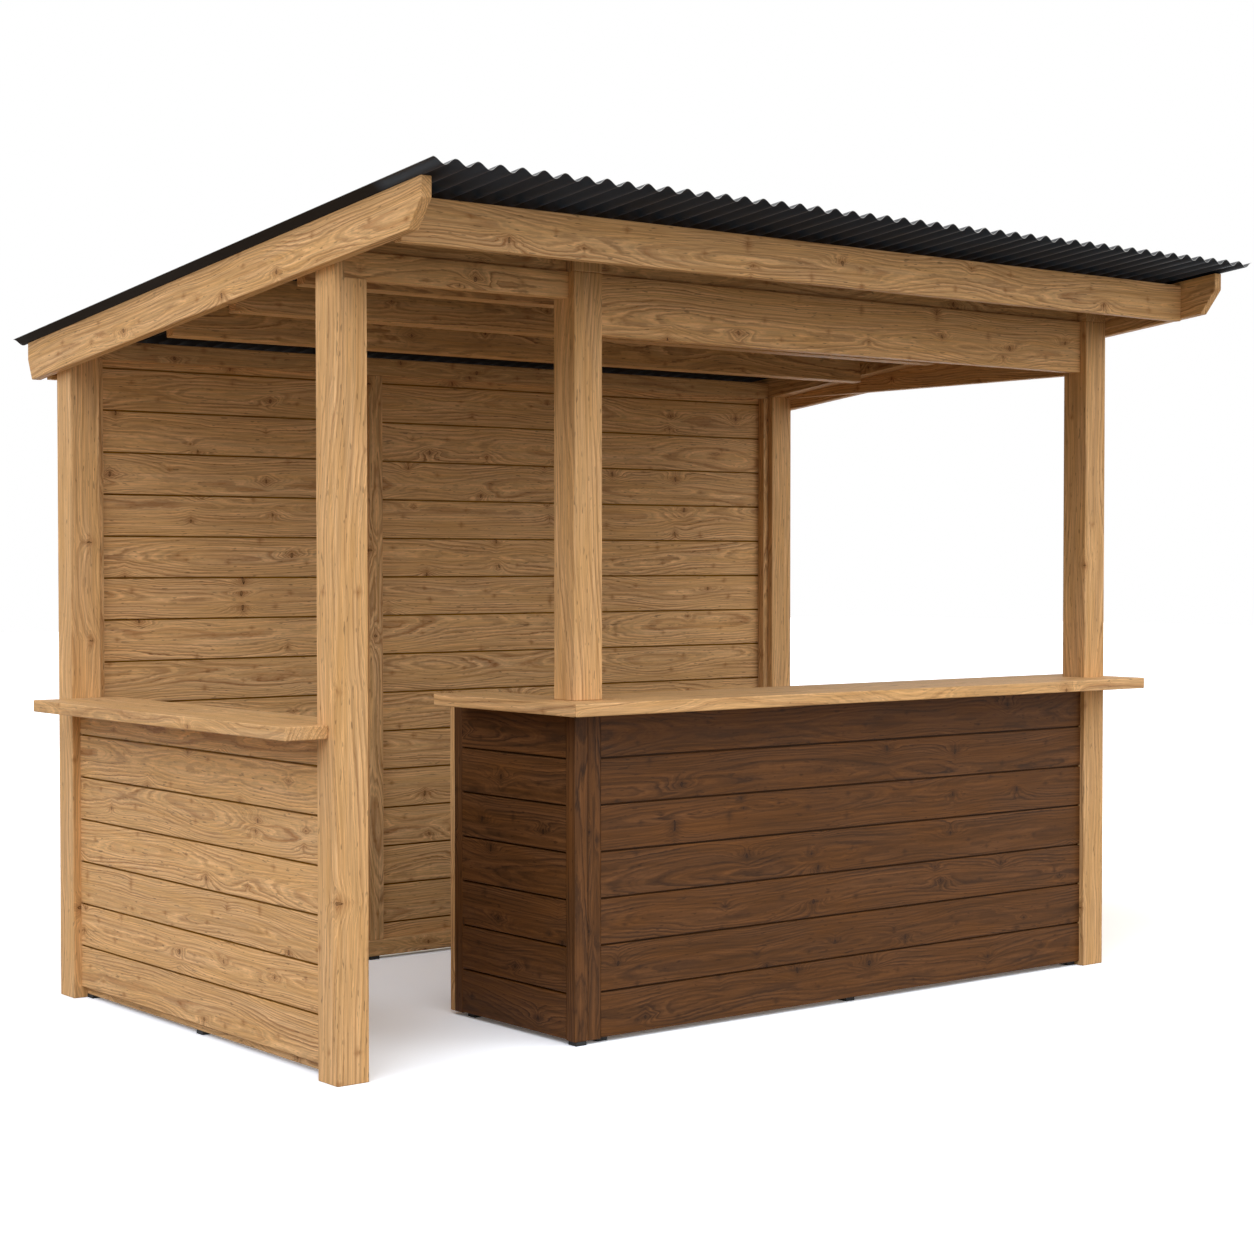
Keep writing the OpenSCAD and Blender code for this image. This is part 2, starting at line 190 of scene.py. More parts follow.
def sawn_softwood(name, light, mid, late, knot, ring_mm, roughness, gloss, contrast):
    """Softwood cut from a log: growth rings round a wandering heart, and branch knots that the grain flows round.
    The attribute grain holds each timber's own place in its log, in metres: along the log, and off its heart.
    Real rings are 2 to 5 mm wide. They are drawn as wide as ring_mm, so that they show from the camera."""
    material, tree = new_material(name)
    place = add(tree, "ShaderNodeAttribute", attribute_name="grain").outputs["Vector"]
    tone = add(tree, "ShaderNodeAttribute", attribute_name="tone").outputs["Fac"]
    joint_shade = add(tree, "ShaderNodeAttribute", attribute_name="joint_shade").outputs["Fac"]

    def streaks(across, along, detail):
        """A pattern drawn out along the log, as a value and a colour."""
        drawn = add(tree, "ShaderNodeVectorMath", (place, (along, across, across)), operation="MULTIPLY")
        return add(tree, "ShaderNodeTexNoise", {"Vector": drawn.outputs[0], "Scale": 1.0, "Detail": detail}).outputs

    # The heart wanders by a few centimetres in each metre, which opens the rings into arches
    along = add(tree, "ShaderNodeSeparateXYZ", (place,)).outputs[0]
    slow = add(tree, "ShaderNodeTexNoise", {"W": along, "Scale": WANDERS_A_METRE, "Detail": 1.0},
               noise_dimensions="1D").outputs["Color"]
    heart = add(tree, "ShaderNodeVectorMath", (slow, HEART_WANDER, place), operation="MULTIPLY_ADD").outputs[0]
    heart = add(tree, "ShaderNodeVectorMath", (heart, [w / 2 for w in HEART_WANDER]), operation="SUBTRACT").outputs[0]
    axes = add(tree, "ShaderNodeSeparateXYZ", (heart,)).outputs
    round_heart = add(tree, "ShaderNodeCombineXYZ", (0, axes[1], axes[2])).outputs[0]
    radius = add(tree, "ShaderNodeVectorMath", (round_heart,), operation="LENGTH").outputs["Value"]
    angle = add(tree, "ShaderNodeMath", (axes[1], axes[2]), operation="ARCTAN2").outputs[0]

    # Branches leave the heart some 300 mm apart, and each shows as a knot up to 16 mm across where it is cut
    branch_place = add(tree, "ShaderNodeCombineXYZ", (along, angle)).outputs[0]
    branch_place = add(tree, "ShaderNodeVectorMath", (branch_place, (BRANCHES, 1.0, 0)),
                       operation="MULTIPLY").outputs[0]
    spread = {"Vector": branch_place, "Scale": 1.0, "Randomness": 0.85}
    cell = add(tree, "ShaderNodeTexVoronoi", spread, voronoi_dimensions="2D").outputs
    border = add(tree, "ShaderNodeTexVoronoi", spread, voronoi_dimensions="2D",
                 feature="DISTANCE_TO_EDGE").outputs["Distance"]
    off = add(tree, "ShaderNodeVectorMath", (branch_place, cell["Position"]), operation="SUBTRACT").outputs[0]
    in_metres = add(tree, "ShaderNodeCombineXYZ", (1 / BRANCHES, radius)).outputs[0]
    off = add(tree, "ShaderNodeVectorMath", (off, in_metres), operation="MULTIPLY").outputs[0]
    off = add(tree, "ShaderNodeVectorMath", (streaks(*KNOT_RAGGED)["Color"], KNOT_JAGS, off),
              operation="MULTIPLY_ADD").outputs[0]
    off = add(tree, "ShaderNodeVectorMath", (off, [j / 2 for j in KNOT_JAGS]), operation="SUBTRACT").outputs[0]
    pick = add(tree, "ShaderNodeSeparateColor", (cell["Color"],)).outputs[0]
    knot_r = add(tree, "ShaderNodeMapRange", (pick, NO_KNOT, 1.0, *KNOT_R)).outputs[0]
    core = add(tree, "ShaderNodeVectorMath", (off, KNOT_NARROW), operation="MULTIPLY").outputs[0]
    core = add(tree, "ShaderNodeVectorMath", (core,), operation="LENGTH").outputs["Value"]
    core = add(tree, "ShaderNodeMath", (core, knot_r), operation="DIVIDE").outputs[0]

    # The rings part before a knot and close behind it, in nested diamonds
    sides = add(tree, "ShaderNodeVectorMath", (off,), operation="ABSOLUTE").outputs[0]
    far = add(tree, "ShaderNodeVectorMath", (sides, DIAMOND), operation="DOT_PRODUCT").outputs["Value"]
    reach = add(tree, "ShaderNodeMath", (knot_r, *DIAMOND_REACH), operation="MULTIPLY_ADD").outputs[0]
    flow = add(tree, "ShaderNodeMath", (far, reach), operation="DIVIDE").outputs[0]
    flow = add(tree, "ShaderNodeMath", (flow, -1.0), operation="MULTIPLY").outputs[0]
    flow = add(tree, "ShaderNodeMath", (flow,), operation="EXPONENT").outputs[0]
    inside = add(tree, "ShaderNodeMapRange", (border, 0.0, 0.16, 0.0, 1.0)).outputs[0]
    flow = add(tree, "ShaderNodeMath", (flow, inside), operation="MULTIPLY").outputs[0]
    swell = add(tree, "ShaderNodeMath", (knot_r, flow), operation="MULTIPLY").outputs[0]
    radius = add(tree, "ShaderNodeMath", (swell, KNOT_SWELL, radius), operation="MULTIPLY_ADD").outputs[0]

    # Rings waver slowly and are ragged at a few millimetres, and are not all as wide
    for *waver, sway in WAVERS:
        radius = add(tree, "ShaderNodeMath", (streaks(*waver)[0], sway, radius), operation="MULTIPLY_ADD").outputs[0]
    rings = add(tree, "ShaderNodeMath", (radius, 1000 / ring_mm), operation="MULTIPLY").outputs[0]
    uneven = add(tree, "ShaderNodeTexNoise", {"W": rings, "Scale": STRAYS_A_RING, "Detail": 1.0},
                 noise_dimensions="1D").outputs[0]
    ring = add(tree, "ShaderNodeMath", (uneven, RING_STRAY, rings), operation="MULTIPLY_ADD").outputs[0]
    ring = add(tree, "ShaderNodeMath", (ring,), operation="FRACT").outputs[0]
    patch = streaks(*PATCHES)[0]
    strong = add(tree, "ShaderNodeMapRange", (patch, 0.35, 0.65, 0.35, 1.0)).outputs[0]
    strength = add(tree, "ShaderNodeMapRange", (uneven, 0.35, 0.60, 0.45 * contrast, contrast)).outputs[0]
    strength = add(tree, "ShaderNodeMath", (strong, strength), operation="MULTIPLY").outputs[0]
    latewood = add(tree, "ShaderNodeValToRGB", (ring,), stops=[
        (0.0, 0.3), (0.07, 0.0), (0.40, 0.05), (0.68, 0.4), (0.88, 1.0), (1.0, 0.3)]).outputs[0]
    latewood = add(tree, "ShaderNodeMath", (latewood, strength), operation="MULTIPLY").outputs[0]
    springwood = add(tree, "ShaderNodeValToRGB", (ring,), stops=[
        (0.0, 0.2), (0.14, 1.0), (0.42, 0.3), (0.80, 0.0), (1.0, 0.2)]).outputs[0]
    springwood = add(tree, "ShaderNodeMath", (springwood, strength), operation="MULTIPLY").outputs[0]

    # Streaks of 14 mm, fibres of 5 and 2 mm, fine lines along the rings, springwood, the timber's own tone and
    # dark resin flecks each lighten or darken the wood, and painted shade darkens it inside the joints between boards
    body = add(tree, "ShaderNodeValToRGB", (streaks(*BODY_STREAKS)[0],), stops=[(0.30, mid), (0.70, light)]).outputs[0]
    colour = add(tree, "ShaderNodeMix", {0: latewood, 6: body, 7: linear(late)}, data_type="RGBA").outputs[2]
    thread = add(tree, "ShaderNodeTexNoise", {"W": rings, "Scale": ring_mm / THREAD_MM, "Detail": 1.0},
                 noise_dimensions="1D").outputs[0]
    fine = streaks(*FINE_FIBRES)[0]
    shade = 1.0
    for value, *change in ((fine, 0.25, 0.75, 0.86, 1.11), (streaks(*FIBRES)[0], 0.3, 0.7, 0.86, 1.13),
                           (thread, 0.3, 0.7, 0.84, 1.11), (springwood, 0.0, 1.0, 0.97, 1.22),
                           (tone, 0.0, 1.0, 0.95, 1.05), (streaks(*RESIN_FLECKS)[0], 0.68, 0.74, 1.0, 0.55),
                           (joint_shade, 0.0, 1.0, 1.0, 0.40)):
        factor = add(tree, "ShaderNodeMapRange", (value, *change)).outputs[0]
        shade = add(tree, "ShaderNodeMath", (shade, factor), operation="MULTIPLY").outputs[0]
    # Patches warm or cool the wood, and the painted shade inside the joints is warmer too
    patch_warm = add(tree, "ShaderNodeMapRange", (patch, 0.3, 0.7, 1.04, 0.97)).outputs[0]
    joint_shade_warmth = add(tree, "ShaderNodeMapRange", (joint_shade, 0.0, 1.0, 1.0, 1.35)).outputs[0]
    warm = add(tree, "ShaderNodeMath", (patch_warm, joint_shade_warmth), operation="MULTIPLY").outputs[0]
    colour = add(tree, "ShaderNodeHueSaturation", {"Saturation": warm, "Value": shade, "Color": colour}).outputs[0]

    # A knot is darkest in the thin bark ring round it, with darker wood close by
    halo = add(tree, "ShaderNodeValToRGB", (flow,), stops=[(0.30, 0.0), (0.80, 0.55)]).outputs[0]
    colour = add(tree, "ShaderNodeMix", {0: halo, 6: colour, 7: linear(late)}, data_type="RGBA").outputs[2]
    in_knot = add(tree, "ShaderNodeValToRGB", (core,), stops=[
        (0.0, 0.75), (0.35, 0.35), (0.62, 0.45), (0.82, 1.0), (0.94, 0.9), (1.0, 0.0)]).outputs[0]
    colour = add(tree, "ShaderNodeMix", {0: in_knot, 6: colour, 7: linear(knot)}, data_type="RGBA").outputs[2]

    height = add(tree, "ShaderNodeMath", (latewood, 0.6, fine), operation="MULTIPLY_ADD").outputs[0]
    bump = add(tree, "ShaderNodeBump", {"Height": height, "Strength": 0.35, "Distance": 0.4 * MM}).outputs[0]
    rough = add(tree, "ShaderNodeMapRange", (fine, 0.3, 0.7, roughness - 0.06, roughness + 0.08)).outputs[0]
    shader = add(tree, "ShaderNodeBsdfPrincipled", {"Base Color": colour, "Roughness": rough, "Normal": bump,
                                                    "Specular IOR Level": gloss})
    add(tree, "ShaderNodeOutputMaterial", (shader.outputs[0],))
    return material


def coated_steel(name, dark, pale, smooth, dull, gloss, painted_shade_from=None):
    """Steel sheet with a coil coating: even, with the faint ripple of rolled sheet.
    From a given depth inwards, under the roof, it is rougher and painted dark brown as shade."""
    material, tree = new_material(name)
    place = add(tree, "ShaderNodeTexCoord").outputs["Object"]
    stretched = add(tree, "ShaderNodeVectorMath", (place, (6, 1.2, 6)), operation="MULTIPLY").outputs[0]
    soft = add(tree, "ShaderNodeTexNoise", {"Vector": stretched, "Scale": 1.0, "Detail": 3.0}).outputs[0]
    grit = add(tree, "ShaderNodeTexNoise", {"Vector": place, "Scale": 900.0, "Detail": 1.0}).outputs[0]
    colour = add(tree, "ShaderNodeValToRGB", (soft,), stops=[(0.3, dark), (0.7, pale)]).outputs[0]
    rough = add(tree, "ShaderNodeMapRange", (soft, 0.3, 0.7, smooth, dull)).outputs[0]
    # Behind the front fascia the underside is painted dark brown as shade, and is made rougher
    if painted_shade_from is not None:
        depth = add(tree, "ShaderNodeSeparateXYZ", (place,)).outputs[1]
        painted_shade = add(tree, "ShaderNodeMapRange", (depth, painted_shade_from, painted_shade_from + 60 * MM)).outputs[0]
        rough = add(tree, "ShaderNodeMath", (painted_shade, UNDER_ROOF_DULLS, rough), operation="MULTIPLY_ADD").outputs[0]
        colour = add(tree, "ShaderNodeMix", {0: painted_shade, 6: colour, 7: linear("#1c150e")}, data_type="RGBA").outputs[2]
    bump = add(tree, "ShaderNodeBump", {"Height": grit, "Strength": 0.2, "Distance": 0.05 * MM}).outputs[0]
    shader = add(tree, "ShaderNodeBsdfPrincipled", {"Base Color": colour, "Roughness": rough, "Normal": bump,
                                                    "Specular IOR Level": gloss})
    add(tree, "ShaderNodeOutputMaterial", (shader.outputs[0],))
    return material


def moulded_rubber():
    """Black rubber pad, matt, with a moulded grain of about a millimetre."""
    material, tree = new_material("moulded_rubber")
    place = add(tree, "ShaderNodeTexCoord").outputs["Object"]
    grain = add(tree, "ShaderNodeTexNoise", {"Vector": place, "Scale": 700.0, "Detail": 2.0}).outputs[0]
    colour = add(tree, "ShaderNodeValToRGB", (grain,), stops=[(0.3, "#141414"), (0.7, "#242322")]).outputs[0]
    bump = add(tree, "ShaderNodeBump", {"Height": grain, "Strength": 0.5, "Distance": 0.2 * MM}).outputs[0]
    shader = add(tree, "ShaderNodeBsdfPrincipled", {"Base Color": colour, "Roughness": 0.8, "Normal": bump})
    add(tree, "ShaderNodeOutputMaterial", (shader.outputs[0],))
    return material


# Planed softwood under clear oil: warm tan, with brown growth rings and small knots
OILED = sawn_softwood("oiled_softwood", light="#e2b987", mid="#d1a671", late="#875222", knot="#3f240f",
                      ring_mm=8.5, roughness=0.55, gloss=0.15, contrast=0.90)
# Posts and tops, from the outer part of the log: wider and fainter rings, so that the faces look nearly plain
POSTS = sawn_softwood("oiled_post_softwood", light="#e2b987", mid="#d1a671", late="#8f5b2c", knot="#3f240f",
                      ring_mm=15.0, roughness=0.55, gloss=0.15, contrast=0.62)
# The same softwood under a walnut stain, which keeps the rings and turns the knots nearly black
STAINED = sawn_softwood("walnut_stained_softwood", light="#704a2b", mid="#55371d", late="#2a190d", knot="#150b05",
                        ring_mm=8.5, roughness=0.5, gloss=0.12, contrast=0.95)
# Satin anthracite coating on the weather side
STEEL = coated_steel("anthracite_coated_steel", "#1a1d21", "#25292e", 0.34, 0.48, 0.5)
# Duller, bluish backer coat on the underside
BACKER = coated_steel("anthracite_backer_coat", "#1f2832", "#28323d", 0.40, 0.50, 0.15,
                      painted_shade_from=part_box("front_fascia")[0].y)
# Bare zinc where the sheets are cut, a thin pale line along their ends, kept pale enough to be partly a painted
# highlight
CUT_EDGE_AND_GLINT = coated_steel("cut_edge_and_painted_glint", "#b4b8bb", "#cdd0d2", 0.40, 0.55, 0.5)
RUBBER = moulded_rubber()


def as_mesh(work, name):
    """Ends a bmesh as a mesh."""
    mesh = bpy.data.meshes.new(name)
    work.to_mesh(mesh)
    work.free()
    return mesh


def link_piece(name, mesh, nodes=(), material=None):
    """Shows a finished mesh, in place of its CAD nodes where it has any."""
    piece = bpy.data.objects.new(name, mesh)
    bpy.context.scene.collection.objects.link(piece)
    if material:
        mesh.materials.clear()
        mesh.materials.append(material)
    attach(piece, "root")
    if nodes:
        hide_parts(*nodes)


# Along the log, across it and away from its heart; the tops lie flat over the heart
AXES = {"X": (0, 2, 1), "Y": (1, 2, 0), "Z": (2, 0, 1), "X flat": (0, 1, 2), "Y flat": (1, 0, 2)}


def mark_grain(mesh, name, axis, slope=0.0, quartered=False):
    """Writes each vertex's place in the timber's own log, with the heart some centimetres outside the timber.
    A quartered timber comes from the log's outer corner, so all four faces have near straight lines."""
    draw = random.Random(name)
    turned = Matrix.Rotation(slope, 3, "X")
    points = [turned @ v.co for v in mesh.vertices]
    u, v, w = AXES[axis]
    low = [min(p[i] for p in points) for i in range(3)]
    high = [max(p[i] for p in points) for i in range(3)]
    middle = [(a + b) / 2 for a, b in zip(low, high)]
    half = [(b - a) / 2 for a, b in zip(low, high)]
    start = draw.uniform(0, LOG_LENGTH)
    heart_v = draw.uniform(-0.5, 0.5) * half[v]
    heart_w = half[w] + draw.uniform(*HEART_OFF)
    side = draw.choice((-1, 1))
    tone = draw.random()
    if quartered:
        heart_v = half[v] + draw.uniform(*CORNER_HEART_OFF)
        heart_w = half[w] + draw.uniform(*CORNER_HEART_OFF)
    places = [c for p in points
              for c in (p[u] + start, p[v] - middle[v] - heart_v, (p[w] - middle[w]) * side + heart_w)]
    mesh.attributes.new("grain", "FLOAT_VECTOR", "POINT").data.foreach_set("vector", places)
    mesh.attributes.new("tone", "FLOAT", "POINT").data.foreach_set("value", [tone] * len(points))


def round_edges(work, size=EDGE):
    """Rounds the edges where two faces meet at an angle."""
    edges = [e for e in work.edges if len(e.link_faces) == 2 and e.calc_face_angle() > SHARP_FROM]
    bmesh.ops.bevel(work, geom=edges, offset=size, segments=2, profile=0.5, affect="EDGES", clamp_overlap=True)


def cad_form(node):
    """The CAD node's shape as a bmesh of whole faces."""
    work = bmesh.new()
    work.from_mesh(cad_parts[node].data)
    bmesh.ops.remove_doubles(work, verts=work.verts, dist=0.01 * MM)
    bmesh.ops.dissolve_limit(work, angle_limit=math.radians(0.5), verts=work.verts, edges=work.edges)
    return work


def box_form(low, high):
    work = bmesh.new()
    size = [b - a for a, b in zip(low, high)]
    middle = [(a + b) / 2 for a, b in zip(low, high)]
    bmesh.ops.create_cube(work, size=1, matrix=Matrix.Translation(middle) @ Matrix.Diagonal((*size, 1)))
    return work


def cut_timber(node, axis, slope=0.0, material=OILED, quartered=False):
    """A CAD timber with eased edges and its own grain."""
    work = cad_form(node)
    round_edges(work)
    mesh = as_mesh(work, node)
    mark_grain(mesh, node, axis, slope, quartered)
    link_piece(node + "_finished", mesh, [node], material)


def timber_set(node, timbers):
    """Separate timbers in place of one fused frame; timbers are (low, high, grain axis)."""
    whole = bmesh.new()
    for i, (low, high, axis) in enumerate(timbers):
        work = box_form(low, high)
        round_edges(work)
        mesh = as_mesh(work, "timber")
        mark_grain(mesh, f"{node}{i}", axis)
        whole.from_mesh(mesh)
        bpy.data.meshes.remove(mesh)
    link_piece(node + "_finished", as_mesh(whole, node), [node], OILED)


def new_tree(name, inputs):
    """A geometry tree with named inputs; inputs are (name, socket kind, default)."""
    tree = bpy.data.node_groups.new(name, "GeometryNodeTree")
    tree.interface.new_socket("Geometry", in_out="INPUT", socket_type="NodeSocketGeometry")
    for label, kind, default in inputs:
        socket = tree.interface.new_socket(label, in_out="INPUT", socket_type=kind)
        if default is not None:
            socket.default_value = default
    tree.interface.new_socket("Geometry", in_out="OUTPUT", socket_type="NodeSocketGeometry")
    return tree, add(tree, "NodeGroupInput").outputs


def run_nodes(tree, source, values):
    """Runs a geometry tree on a mesh and gives the result as a plain mesh."""
    carrier = bpy.data.objects.new("carrier", source)
    bpy.context.scene.collection.objects.link(carrier)
    modifier = carrier.modifiers.new("nodes", "NODES")
    modifier.node_group = tree
    for item in tree.interface.items_tree:
        if item.in_out == "INPUT" and item.name in values:
            modifier[item.identifier] = values[item.name]
    bpy.context.view_layer.update()
    evaluated = carrier.evaluated_get(bpy.context.evaluated_depsgraph_get())
    mesh = bpy.data.meshes.new_from_object(evaluated)
    carrier.modifiers.remove(modifier)
    bpy.data.objects.remove(carrier)
    return mesh


def board_rows():
    """Rows of like boards, one above the other, each cut from another part of the log."""
    tree, start = new_tree("board_rows", [
        ("Count", "NodeSocketInt", 7), ("Pitch", "NodeSocketFloat", 0.143), ("Seed", "NodeSocketInt", 1),
        ("Material", "NodeSocketMaterial", None)])
    step = add(tree, "ShaderNodeCombineXYZ", (0, 0, start["Pitch"])).outputs[0]
    line = add(tree, "GeometryNodeMeshLine", {"Count": start["Count"], "Offset": step}).outputs[0]
    rows = add(tree, "GeometryNodeInstanceOnPoints", {"Points": line, "Instance": start["Geometry"]}).outputs[0]
    index = add(tree, "GeometryNodeInputIndex").outputs[0]
    rows = add(tree, "GeometryNodeStoreNamedAttribute", {"Geometry": rows, "Name": "board", "Value": index},
               data_type="INT", domain="INSTANCE").outputs[0]
    solid = add(tree, "GeometryNodeRealizeInstances", (rows,)).outputs[0]
    board = add(tree, "GeometryNodeInputNamedAttribute", {"Name": "board"}, data_type="INT").outputs[0]
    log = add(tree, "FunctionNodeRandomValue", {"Min": BOARD_HEART[0], "Max": BOARD_HEART[1], "ID": board,
                                                "Seed": start["Seed"]}, data_type="FLOAT_VECTOR").outputs[0]
    lift = add(tree, "ShaderNodeMath", (board, start["Pitch"]), operation="MULTIPLY").outputs[0]
    spot = add(tree, "GeometryNodeInputPosition").outputs[0]
    spot = add(tree, "ShaderNodeSeparateXYZ", (spot,)).outputs
    height = add(tree, "ShaderNodeMath", (spot[2], lift), operation="SUBTRACT").outputs[0]
    own = add(tree, "ShaderNodeCombineXYZ", (spot[0], height, spot[1])).outputs[0]
    grain = add(tree, "ShaderNodeVectorMath", (own, log), operation="ADD").outputs[0]
    tone = add(tree, "FunctionNodeRandomValue", {"ID": board, "Seed": start["Seed"]}, data_type="FLOAT").outputs[1]
    for name, value, kind in (("grain", grain, "FLOAT_VECTOR"), ("tone", tone, "FLOAT")):
        solid = add(tree, "GeometryNodeStoreNamedAttribute", {"Geometry": solid, "Name": name, "Value": value},
                    data_type=kind, domain="POINT").outputs[0]
    solid = add(tree, "GeometryNodeSetMaterial", {"Geometry": solid, "Material": start["Material"]}).outputs[0]
    add(tree, "NodeGroupOutput", (solid,))
    return tree


BOARD_ROWS = board_rows()


def tongued_board(length, pitch, thickness):
    """One tongued and grooved board, its face towards -Y, its length along X and its middle height at zero.
    Its joint attribute is 1 inside the joints and 0 on the faces, and sets where the wood is painted darker as shade."""
    top = pitch / 2 - BOARD_GAP / 2
    low = -top
    lip = thickness * TONGUE_FROM
    back = thickness * TONGUE_TO
    reach = pitch / 2 + TONGUE_REACH
    slot_end = reach - pitch + TONGUE_PLAY
    r = BOARD_ROUND
    outline = [(0, low + r), (0, top - r), (r * 0.3, top - r * 0.3), (r, top), (lip, top), (lip, reach),
               (back, reach), (back, top), (thickness - r, top), (thickness, top - r), (thickness, low + r),
               (thickness - r, low), (back + TONGUE_PLAY, low), (back + TONGUE_PLAY, slot_end),
               (lip - TONGUE_PLAY, slot_end), (lip - TONGUE_PLAY, low), (r, low), (r * 0.3, low + r * 0.3)]
    work = bmesh.new()
    face = work.faces.new([work.verts.new((0, y, z)) for y, z in outline])
    grown = bmesh.ops.extrude_face_region(work, geom=[face])
    bmesh.ops.translate(work, verts=[g for g in grown["geom"] if isinstance(g, bmesh.types.BMVert)],
                        vec=(length, 0, 0))
    bmesh.ops.recalc_face_normals(work, faces=work.faces)
    mesh = as_mesh(work, "board")
    # How deep each vertex lies in a joint, which sets the painted shade there
    inside = [min(v.co.y, thickness - v.co.y) for v in mesh.vertices]
    depths = [1.0 if d > r * 1.5 else 0.4 if d > r * 0.8 else 0.0 for d in inside]
    mesh.attributes.new("joint_shade", "FLOAT", "POINT").data.foreach_set("value", depths)
    return mesh


def boarded(node, pitch, first_joint, material, seed, face):
    """Boards a wall: face is the side that the board faces look to, "-Y", "+Y", "-X" or "+X"."""
    low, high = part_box(node)
    along_x = face.endswith("Y")
    length = high.x - low.x if along_x else high.y - low.y
    thickness = high.y - low.y if along_x else high.x - low.x
    count = math.ceil((high.z - first_joint) / pitch) + 1
    board = tongued_board(length, pitch, thickness)
    mesh = run_nodes(BOARD_ROWS, board, {"Count": count, "Pitch": pitch, "Seed": seed, "Material": material})
    turn, spot = {"-Y": (0, (low.x, low.y)), "+Y": (math.pi, (high.x, high.y)),
                  "-X": (-math.pi / 2, (low.x, high.y)), "+X": (math.pi / 2, (high.x, low.y))}[face]
    mesh.transform(Matrix.Translation((*spot, first_joint - pitch / 2)) @ Matrix.Rotation(turn, 4, "Z"))
    work = bmesh.new()
    work.from_mesh(mesh)
    for height, direction in ((low.z, -1), (high.z, 1)):
        cut = bmesh.ops.bisect_plane(work, geom=[*work.verts, *work.edges, *work.faces],
                                     plane_co=(0, 0, height), plane_no=(0, 0, direction), clear_outer=True)
        rim = [g for g in cut["geom_cut"] if isinstance(g, bmesh.types.BMEdge)]
        bmesh.ops.edgeloop_fill(work, edges=rim)
    work.to_mesh(mesh)
    work.free()
    link_piece(node + "_finished", mesh, [node])


def corrugated_sheet():
    """One sheet of cosine waves with a real thickness, its first edge at X zero."""
    tree, start = new_tree("corrugated_sheet", [
        ("Waves", "NodeSocketFloat", 10.0), ("Pitch", "NodeSocketFloat", 0.07), ("Height", "NodeSocketFloat", 0.018),
        ("Thickness", "NodeSocketFloat", 0.001), ("Length", "NodeSocketFloat", 2.5),
        ("First", "NodeSocketFloat", 0.0), ("Lift", "NodeSocketFloat", 0.0), ("Columns", "NodeSocketInt", 241),
        ("Top", "NodeSocketMaterial", None), ("Underside", "NodeSocketMaterial", None),
        ("Edge", "NodeSocketMaterial", None)])
    width = add(tree, "ShaderNodeMath", (start["Waves"], start["Pitch"]), operation="MULTIPLY").outputs[0]
    flat = add(tree, "GeometryNodeMeshGrid", {"Size X": width, "Size Y": start["Length"],
                                              "Vertices X": start["Columns"], "Vertices Y": STEPS_ALONG}).outputs[0]
    half = add(tree, "ShaderNodeMath", (width, 0.5), operation="MULTIPLY").outputs[0]
    spot = add(tree, "GeometryNodeInputPosition").outputs[0]
    spot = add(tree, "ShaderNodeSeparateXYZ", (spot,)).outputs[0]
    across = add(tree, "ShaderNodeMath", (spot, half), operation="ADD").outputs[0]
    turns = add(tree, "ShaderNodeMath", (across, start["Pitch"]), operation="DIVIDE").outputs[0]
    turns = add(tree, "ShaderNodeMath", (turns, start["First"]), operation="ADD").outputs[0]
    angle = add(tree, "ShaderNodeMath", (turns, 2 * math.pi), operation="MULTIPLY").outputs[0]
    wave = add(tree, "ShaderNodeMath", (angle,), operation="COSINE").outputs[0]
    wave = add(tree, "ShaderNodeMath", (wave, 0.5, 0.5), operation="MULTIPLY_ADD").outputs[0]
    rise = add(tree, "ShaderNodeMath", (wave, start["Height"], start["Lift"]), operation="MULTIPLY_ADD").outputs[0]
    shift = add(tree, "ShaderNodeCombineXYZ", (half, 0, rise)).outputs[0]
    under = add(tree, "GeometryNodeSetPosition", {"Geometry": flat, "Offset": shift}).outputs[0]
    grown = add(tree, "GeometryNodeExtrudeMesh", {"Mesh": under, "Offset": (0, 0, 1),
                                                  "Offset Scale": start["Thickness"], "Individual": False}).outputs
    over = add(tree, "GeometryNodeSetMaterial", {"Geometry": grown["Mesh"], "Material": start["Top"]}).outputs[0]
    over = add(tree, "GeometryNodeSetMaterial", {"Geometry": over, "Selection": grown["Side"],
                                                 "Material": start["Edge"]}).outputs[0]
    turned = add(tree, "GeometryNodeFlipFaces", (under,)).outputs[0]
    turned = add(tree, "GeometryNodeSetMaterial", {"Geometry": turned, "Material": start["Underside"]}).outputs[0]
    both = add(tree, "GeometryNodeJoinGeometry")
    tree.links.new(over, both.inputs[0])
    tree.links.new(turned, both.inputs[0])
    sheet = add(tree, "GeometryNodeMergeByDistance", {0: both.outputs[0], "Distance": 0.01 * MM}).outputs[0]
    sheet = add(tree, "GeometryNodeRealizeInstances", (sheet,)).outputs[0]
    add(tree, "NodeGroupOutput", (sheet,))
    return tree


def roof_layout():
    """The roof's depth on plan and its wave pitch, the height of a lapped sheet, and the slope's matrix:
    local X across the roof, Y down the slope from the front edge, Z square to it."""
    low, front_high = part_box("roof_sheet_1")
    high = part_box(f"roof_sheet_{SHEETS}")[1]
    rise = WAVE_H + SHEET_REST + SHEET_T
    front = (low.x, low.y, front_high.z - rise * math.cos(ROOF_PITCH))
    plane = Matrix.Translation(front) @ Matrix.Rotation(-ROOF_PITCH, 4, "X")
    return high.y - low.y, (high.x - low.x) / ROOF_WAVES, rise, plane


